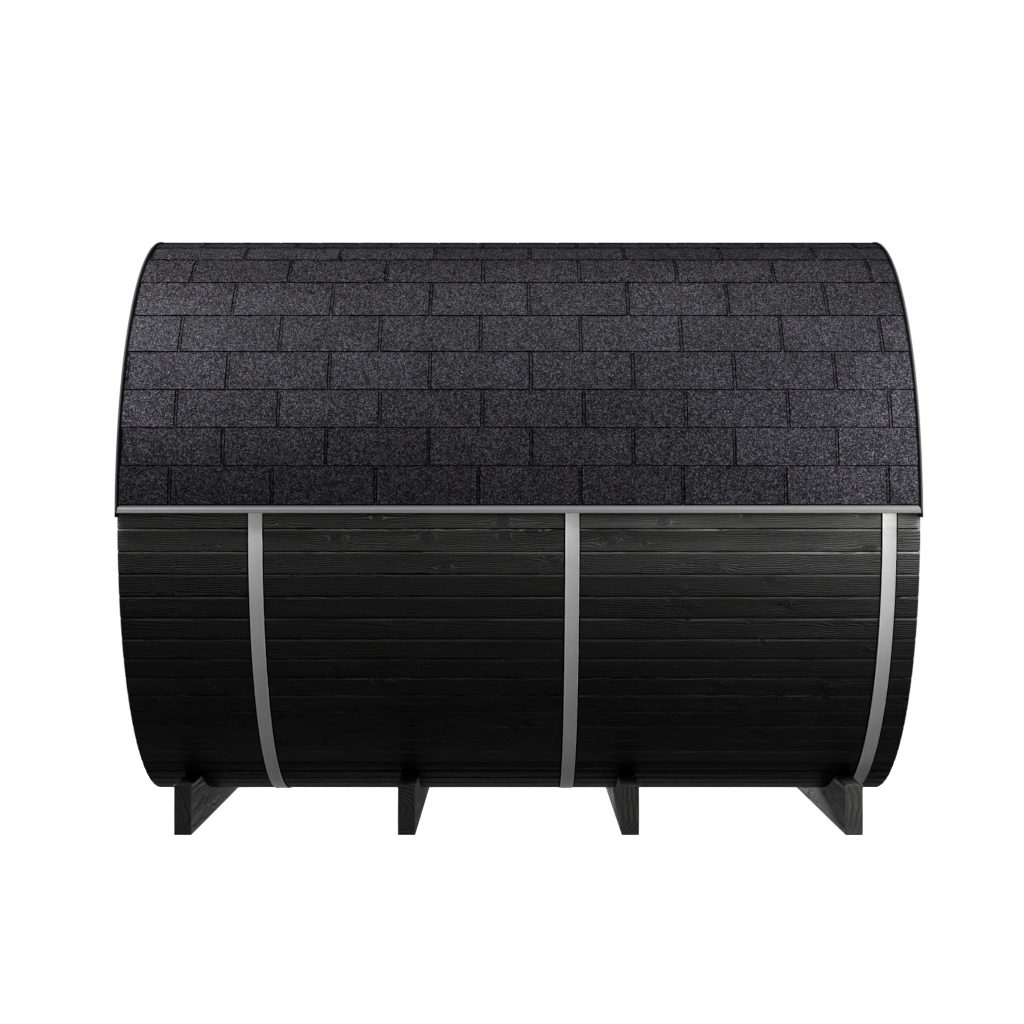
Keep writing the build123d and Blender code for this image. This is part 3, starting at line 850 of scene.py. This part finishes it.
def row_of_tabs(b, n, flip):
    lo, hi = ROWS[n], ROWS[n + 1]
    r = TOP_R
    start, near, far = SLOTS[n]
    k0 = math.floor((-ROOF_HALF - start) / PITCH)
    slots = [start + k * PITCH for k in range(k0, k0 + 12)]
    slots = [x + (near if x < 0.45 else far) + (rng.random() - 0.5) * 0.003 for x in slots]
    edge_b, edge_s = 0.0021 / r, 0.0033
    for c0, c1 in zip(slots, slots[1:]):
        x0, x1 = c0 + SLOT / 2, c1 - SLOT / 2
        x0, x1 = max(x0, -ROOF_HALF), min(x1, ROOF_HALF)
        if x1 - x0 < 0.012:
            continue
        ends = (x0 == -ROOF_HALF, x1 == ROOF_HALF)
        tone = rng.random()
        # painted light: row 7 is lighter towards the front end
        if n == 7:
            tone += 2.2 * min(1.0, max(0.0, (0.3 - (x0 + x1) / 2) / 1.2))
        inner = 5
        xs = [x0, x0 + edge_s, x0 + edge_s + 0.0008, x0 + 0.007]
        xs += [x0 + 0.007 + (x1 - x0 - 0.014) * t / inner for t in range(1, inner)]
        xs += [x1 - 0.007, x1 - edge_s - 0.0008, x1 - edge_s, x1]
        lap = hi + 0.016 / r
        angles = [lo, lo + edge_b, lo + edge_b + 0.0007 / r, lo + 0.0065 / r]
        angles += [lo + 0.0065 / r + (hi - lo - 0.0065 / r) * t / 5 for t in range(1, 6)] + [lap]
        nx = len(xs)
        ph = [rng.random() * 6.28 for _ in range(4)]
        skew = [(rng.random() - 0.5) * 0.0012 for _ in range(4)]

        def fall(a):
            return TAB_T * (a - lo) / (hi - lo)

        def top(i, j):
            drop = 0.0
            if i == 0:
                drop = 0.0013
            elif j in (0, nx - 1):
                drop = 0.0011
            wave = 0.00025 * (math.sin(xs[j] * 17 + ph[0]) - 1) * (1 if i < 4 else 0.5)
            return r - fall(angles[i]) - drop + wave

        def bottom(i, j):
            return r - fall(angles[i]) - TAB_T + 0.00005

        def jitter(i, j):
            da = (skew[0] * (1 - j / (nx - 1)) + skew[1] * j / (nx - 1) + 0.0004 * math.sin(xs[j] * 31 + ph[1])) / r if i <= 3 else 0.0
            dx = 0.0
            if 0 < x0 + ROOF_HALF and j <= 3 and not ends[0]:
                dx = skew[2] * 0.6 + 0.0003 * math.sin(i * 1.9 + ph[2])
            if j >= nx - 4 and not ends[1]:
                dx = skew[3] * 0.6 + 0.0003 * math.sin(i * 1.7 + ph[3])
            return da, dx

        # dark edges along the tab's lower edge and slot sides: partly bare cut edges, partly painted shadow
        def rims(i, j):
            return 1.0 if i <= 1 or (j <= 1 and not ends[0]) or (j >= nx - 2 and not ends[1]) else 0.0

        # painted highlight along the tab's lower edge
        def lips(i, j):
            return 1.0 if i in (1, 2) else 0.0

        plate(b, xs, angles, top, bottom, rims, lips, tone, flip, jitter)
    # the uncut upper part of the strip, which the next row covers and its slots show
    if n + 2 < len(ROWS):
        far = ROWS[n + 2]
        a0 = hi - 0.004 / r
        angles = [a0 + (far - a0) * t / 7 for t in range(8)]
        xs = [-ROOF_HALF + 2 * ROOF_HALF * t / 8 for t in range(9)]

        def top2(i, j):
            return r - TAB_T - 0.0028 * (angles[i] - hi) / (far - hi)

        plate(b, xs, angles, top2, lambda i, j: max(1.0201, top2(i, j) - 0.0022), None, None, 0.45, flip)


def roof():
    for name, flip in (("right", False), ("left", True)):
        b = Build()
        for n in range(len(ROWS) - 1):
            row_of_tabs(b, n, flip)
        # starter strip under the lowest row
        angles = [ROWS[0] + 0.0006, (ROWS[0] + ROWS[1]) / 2, ROWS[1]]
        xs = [-ROOF_HALF + 2 * ROOF_HALF * t / 8 for t in range(9)]
        plate(b, xs, angles, lambda i, j: TOP_R - TAB_T - 0.0028 * i / 2, lambda i, j: 1.0201, None, None, 0.4, flip)
        if not flip:
            # ridge caps, lapped along the ridge
            expose, count = 0.1450, 18
            for i in range(count):
                x0 = -ROOF_HALF + i * expose
                x1 = min(x0 + expose + 0.05, ROOF_HALF)
                angles = [math.radians(84.6 + 10.8 * t / 10) for t in range(11)]
                xs = [x0, x0 + 0.0026, x0 + 0.006, x0 + 0.07, x0 + expose - 0.0050, x0 + expose - 0.0015, x1]
                if x1 - x0 < expose:
                    xs = [x0, x0 + 0.0026, x0 + 0.006, (x0 + x1) / 2, x1 - 0.01, x1 - 0.005, x1]
                tone = rng.random()

                def rise(x, x0=x0):
                    t = (x - x0) / expose
                    return 1.0290 - (0.0004 * t if t < 0.98 else 0.0026 + 0.0012 * (t - 0.98))

                # the caps' edges are darkened: partly bare cut edges, partly painted shadow at the laps
                plate(
                    b, xs, angles,
                    lambda i, j: rise(xs[j]) - (0.0006 if j == 0 or i in (0, 10) else 0.0),
                    lambda i, j: max(1.0235, rise(xs[j]) - 0.0022),
                    lambda i, j: 1.0 if j <= 1 or j == len(xs) - 2 or i in (0, 10) else 0.0, None, tone,
                )
        b.make(f"shingle_tabs_{name}", [SHINGLE], [f"shingles_{name}"], sharp=25)


roof()

# ---------------------------------------------------------------- trims


def end_trims():
    # (along, radius, how dark): how dark is painted shade over the whole trim, lightest on the outer face and bead and
    # near black on the inner lap and the hem
    prof = [
        (1.3070, 0.9815, 0.80), (1.3070, 1.0272, 0.80), (1.3067, 1.0288, 0.85), (1.3058, 1.0297, 0.72), (1.3046, 1.0300, 0.66), (1.3030, 1.0299, 0.66),
        (1.3020, 1.0293, 0.70), (1.3008, 1.0284, 1.0), (1.2990, 1.0276, 1.0), (1.2979, 1.0276, 1.0), (1.2970, 1.0280, 1.0),
        (1.2963, 1.0279, 1.0), (1.2960, 1.0272, 1.0), (1.2968, 1.0269, 1.0), (1.2976, 1.0270, 1.0), (1.3016, 1.0271, 1.0), (1.3040, 1.0282, 1.0),
        (1.3054, 1.0272, 1.0), (1.3057, 1.0255, 1.0), (1.3057, 0.9815, 1.0),
    ]
    # painted shadow: a near-black strip along the gap between the flange and the shingles
    shadow_strip_profile = [(1.2972, 1.0240), (1.2972, 1.0269), (1.2962, 1.0272), (1.2946, 1.0270), (1.2938, 1.0262), (1.2938, 1.0240)]
    for name, side in (("rear", 1), ("front", -1)):
        b = Build()
        for part, mat in ((prof, 0), (shadow_strip_profile, 1)):
            rings, woods, rims = [], [], []
            count = 200
            for i in range(count + 1):
                ring, wd, rm = [], [], []
                for point in part:
                    x, r = point[:2]
                    a0 = math.asin(0.018 / r)
                    a = a0 + (math.pi - 2 * a0) * (i / count)
                    if i in (1, 2, count - 2, count - 1):
                        a = math.asin((0.032, 0.034)[min(i, count - i) - 1] / r)
                        a = a if i < 5 else math.pi - a
                    ring.append(pol(side * x, r, a))
                    wd.append((r * a, x, r))
                    # painted shadow: the rings at and next to each foot are black
                    rm.append(1.0 if i in (0, 1, count - 1, count) else point[2] if len(point) > 2 else 0.0)
                rings.append(ring)
                woods.append(wd)
                rims.append(rm)
            first = len(b.v)
            b.loft(rings, woods, mat=mat)
            b.rim[first:] = [v for rm in rims for v in rm]
        b.make(f"end_trim_sheet_{name}", [TRIM, SHADOW_STRIP], [f"end_trim_{name}"], sharp=50)


def eave_trims():
    # (outward, height over the axis, half length, how dark): how dark is painted shade, black under the shingles, on
    # the inner return and on the leg and graded up the slope; its negative values are painted highlights on the bends
    face = [
        (1.0205, 0.0570, 1.2912, 1.0), (1.0240, 0.0552, 1.2912, 0.55), (1.0268, 0.0528, 1.2936, 0.42), (1.0300, 0.0502, 1.2960, 0.34),
        (1.0329, 0.0480, 1.2968, 0.15), (1.0345, 0.0466, 1.2970, -0.25), (1.0347, 0.0447, 1.2974, 0.0), (1.0347, 0.0345, 1.2990, 0.0),
        (1.0344, 0.0324, 1.2993, -0.2), (1.0335, 0.0314, 1.2995, 0.7), (1.0324, 0.0314, 1.2995, 1.0), (1.0316, 0.0320, 1.2994, 1.0),
        (1.0316, 0.0340, 1.2990, 1.0), (1.0330, 0.0352, 1.2988, 1.0), (1.0333, 0.0440, 1.2974, 1.0), (1.0326, 0.0462, 1.2970, 1.0),
        (1.0296, 0.0486, 1.2962, 1.0), (1.0236, 0.0536, 1.2912, 1.0), (1.0204, 0.0552, 1.2912, 1.0),
    ]
    leg = [(1.0188, 0.0585, 1.2910, 1.0), (1.0209, 0.0583, 1.2910, 1.0), (1.0211, 0.0362, 1.2910, 1.0), (1.0190, 0.0362, 1.2910, 1.0)]
    for name, side in (("right", -1), ("left", 1)):
        b = Build()
        for prof in (face, leg):
            rings, woods = [], []
            for i in range(13):
                t = -1 + i / 6
                rings.append([(x * t, side * (y + (0.0004 if prof is leg and side > 0 else 0)), AXIS + z) for y, z, x, _ in prof])
                woods.append([(x * t, y, z) for y, z, x, _ in prof])
            first = len(b.v)
            b.loft(rings, woods, rims=[[p[3] for p in prof]] * 13)
            # painted light along the trim, lighter towards the front end and darker towards the rear; the slope's upper
            # points also take their own factor, from 0.45 at the front end to 1.65 at the rear
            light_along_trim = (0.55, 0.40, 0.15, 0.05, 0.0, 0.0, 0.0, -0.05, -0.11, -0.15, -0.20, -0.23, -0.25)
            b.lip[first:] = [(1 + v) * (0.45 + 0.1 * i if n < 4 and prof is face else 1.0) - 1 for i, v in enumerate(light_along_trim) for n in range(len(prof))]
        b.make(f"eave_trim_sheet_{name}", [TRIM], [f"eave_trim_{name}"], sharp=50)


end_trims()
eave_trims()

# ---------------------------------------------------------------- CAD nodes that stay

for node in ("roof_ribs", "roof_deck_1", "roof_deck_2", "roof_deck_3", "roof_deck_4"):
    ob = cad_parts[node]
    k = Mat("sawn_boards_" + node)
    p = k.node("TexCoord", "Object")
    n1 = k.noise(k.scaled(p, 1.5, 30.0, 30.0), 1.0, 3.0, distortion=0.6)
    rings = k.math("ADD", k.math("MULTIPLY", k.math("SINE", k.math("MULTIPLY", n1, 70.0)), 0.5), 0.5)
    fibre = k.noise(k.scaled(p, 8.0, 700.0, 700.0), 1.0, 3.0)
    v = k.math("ADD", k.math("MULTIPLY", rings, 0.25), k.math("MULTIPLY", fibre, 0.5))
    color = k.mix(v, (0.20, 0.14, 0.085), (0.34, 0.25, 0.16))
    mat = k.finish(color, 0.75, k.bump(v, 0.0006, 0.8), spec=0.3)
    ob.data.materials.clear()
    ob.data.materials.append(mat)

# ---------------------------------------------------------------- floor, light and camera


def studio():
    mesh = bpy.data.meshes.new("studio_floor")
    ring = [(9.0 * math.cos(2 * math.pi * i / 64), 9.0 * math.sin(2 * math.pi * i / 64), 0.0) for i in range(64)]
    mesh.from_pydata(ring, [], [tuple(range(64))])
    floor = bpy.data.objects.new("studio_floor", mesh)
    bpy.context.scene.collection.objects.link(floor)
    floor.visible_diffuse = floor.visible_glossy = False
    m = bpy.data.materials.new("studio_floor")
    m.use_nodes = True
    t = m.node_tree
    t.nodes.clear()

    def new(kind, **ins):
        n = t.nodes.new("ShaderNode" + kind)
        for key, v in ins.items():
            n.inputs[key].default_value = v
        return n

    out = new("OutputMaterial")
    white = new("Emission", Strength=1.0)
    near = new("Emission", Strength=1.0)
    pale = new("BsdfDiffuse", Color=(0.55, 0.55, 0.55, 1))
    add, mix = new("AddShader"), new("MixShader")
    coord = new("TexCoord")
    length = t.nodes.new("ShaderNodeVectorMath")
    length.operation = "LENGTH"
    fade = t.nodes.new("ShaderNodeMapRange")
    fade.interpolation_type = "SMOOTHSTEP"
    fade.inputs[1].default_value, fade.inputs[2].default_value = 1.4, 3.2
    t.links.new(coord.outputs["Object"], length.inputs[0])
    t.links.new(length.outputs["Value"], fade.inputs[0])
    t.links.new(near.outputs[0], add.inputs[0])
    t.links.new(pale.outputs[0], add.inputs[1])
    t.links.new(fade.outputs[0], mix.inputs[0])
    t.links.new(add.outputs[0], mix.inputs[1])
    t.links.new(white.outputs[0], mix.inputs[2])
    t.links.new(mix.outputs[0], out.inputs["Surface"])
    floor.data.materials.append(m)

    world = bpy.data.worlds.new("studio")
    bpy.context.scene.world = world
    world.use_nodes = True
    t = world.node_tree
    t.nodes.clear()
    out = new("OutputWorld")
    path = new("LightPath")
    mix = new("MixShader")
    seen = new("Background", Strength=1.0, Color=(1, 1, 1, 1))
    light = new("Background", Strength=1.2)
    coord = new("TexCoord")
    sep = new("SeparateXYZ")
    ramp = new("ValToRGB")
    height = t.nodes.new("ShaderNodeMapRange")
    height.inputs[1].default_value, height.inputs[2].default_value = -1.0, 1.0
    t.links.new(coord.outputs["Generated"], sep.inputs[0])
    t.links.new(sep.outputs[2], height.inputs[0])
    t.links.new(height.outputs[0], ramp.inputs[0])
    e = ramp.color_ramp.elements
    e[0].position, e[1].position = SKY[0][0], SKY[-1][0]
    for pos, _ in SKY[1:-1]:
        e.new(pos)
    for stop, (_, v) in zip(e, SKY):
        stop.color = (v, v, v, 1)
    t.links.new(ramp.outputs[0], light.inputs["Color"])
    t.links.new(path.outputs["Is Camera Ray"], mix.inputs[0])
    t.links.new(light.outputs[0], mix.inputs[1])
    t.links.new(seen.outputs[0], mix.inputs[2])
    t.links.new(mix.outputs[0], out.inputs["Surface"])


def softbox(name, at, target, size, power):
    data = bpy.data.lights.new(name, "AREA")
    data.shape = "RECTANGLE"
    data.size, data.size_y = size
    data.energy = power
    ob = bpy.data.objects.new(name, data)
    ob.location = at
    ob.rotation_euler = (Vector(target) - Vector(at)).to_track_quat("-Z", "Y").to_euler()
    ob.visible_camera = False
    bpy.context.scene.collection.objects.link(ob)
    return ob


SKY = (
    (0.0, 0.15), (0.06, 0.15), (0.075, 0.083), (0.245, 0.083), (0.258, 0.96), (0.385, 0.96), (0.41, 0.0), (0.875, 0.0), (0.89, 0.325), (1.0, 0.325),
)
AIM = (0.0, 0.0, 1.1)
LIGHTS = [
    ("side_left_high", (-2.824, -0.498, 5.196), AIM, (2.0, 2.0), 110),
    ("front_high", (-0.981, -2.695, 5.196), AIM, (2.0, 2.0), 30),
    ("overhead", (0.816, -0.297, 6.024), AIM, (2.0, 2.0), 43),
    ("near_left_high", (-2.0, -2.2, 2.8), (-0.5, -0.5, 1.1), (1.0, 1.0), 25),
    ("near_right_high", (2.0, -2.2, 2.8), (0.5, -0.5, 1.1), (1.0, 1.0), 37),
    ("near_right", (2.4, -2.6, 1.0), (0.5, -0.5, 1.1), (1.0, 1.0), 26),
    ("right_end", (1.9, -1.9, 1.9), (0.9, -0.9, 1.1), (0.8, 0.8), 15.5),
    ("right_end_high", (1.5, -1.4, 3.2), (0.9, -0.7, 1.1), (0.8, 0.8), 4.6),
    ("left_end_high", (-1.7, -1.6, 3.4), (-0.9, -0.5, 1.3), (0.8, 0.8), 4.8),
    ("porch_end", (-5.2, 2.5, 1.25), (-0.9, 0.0, 1.0), (2.0, 1.2), 420),
    ("rear_end", (5.2, 2.5, 1.25), (0.9, 0.0, 1.0), (2.0, 1.2), 320),
    ("far_side", (-1.2, 5.6, 1.25), (0.0, 0.3, 1.05), (2.4, 1.2), 220),
]
studio()
for light in LIGHTS:
    softbox(*light)

cam = bpy.data.cameras.new("camera")
cam.sensor_width, cam.lens = 36.0, 74.81
cam.clip_end = 200
camera = bpy.data.objects.new("camera", cam)
camera.location = (-0.0221, -7.9047, 1.1031)
camera.rotation_euler = (math.radians(90), 0, 0)
bpy.context.scene.collection.objects.link(camera)
bpy.context.scene.camera = camera

view = bpy.context.scene.view_settings
view.view_transform, view.look, view.exposure, view.gamma = "Standard", "None", 0.0, 1.0
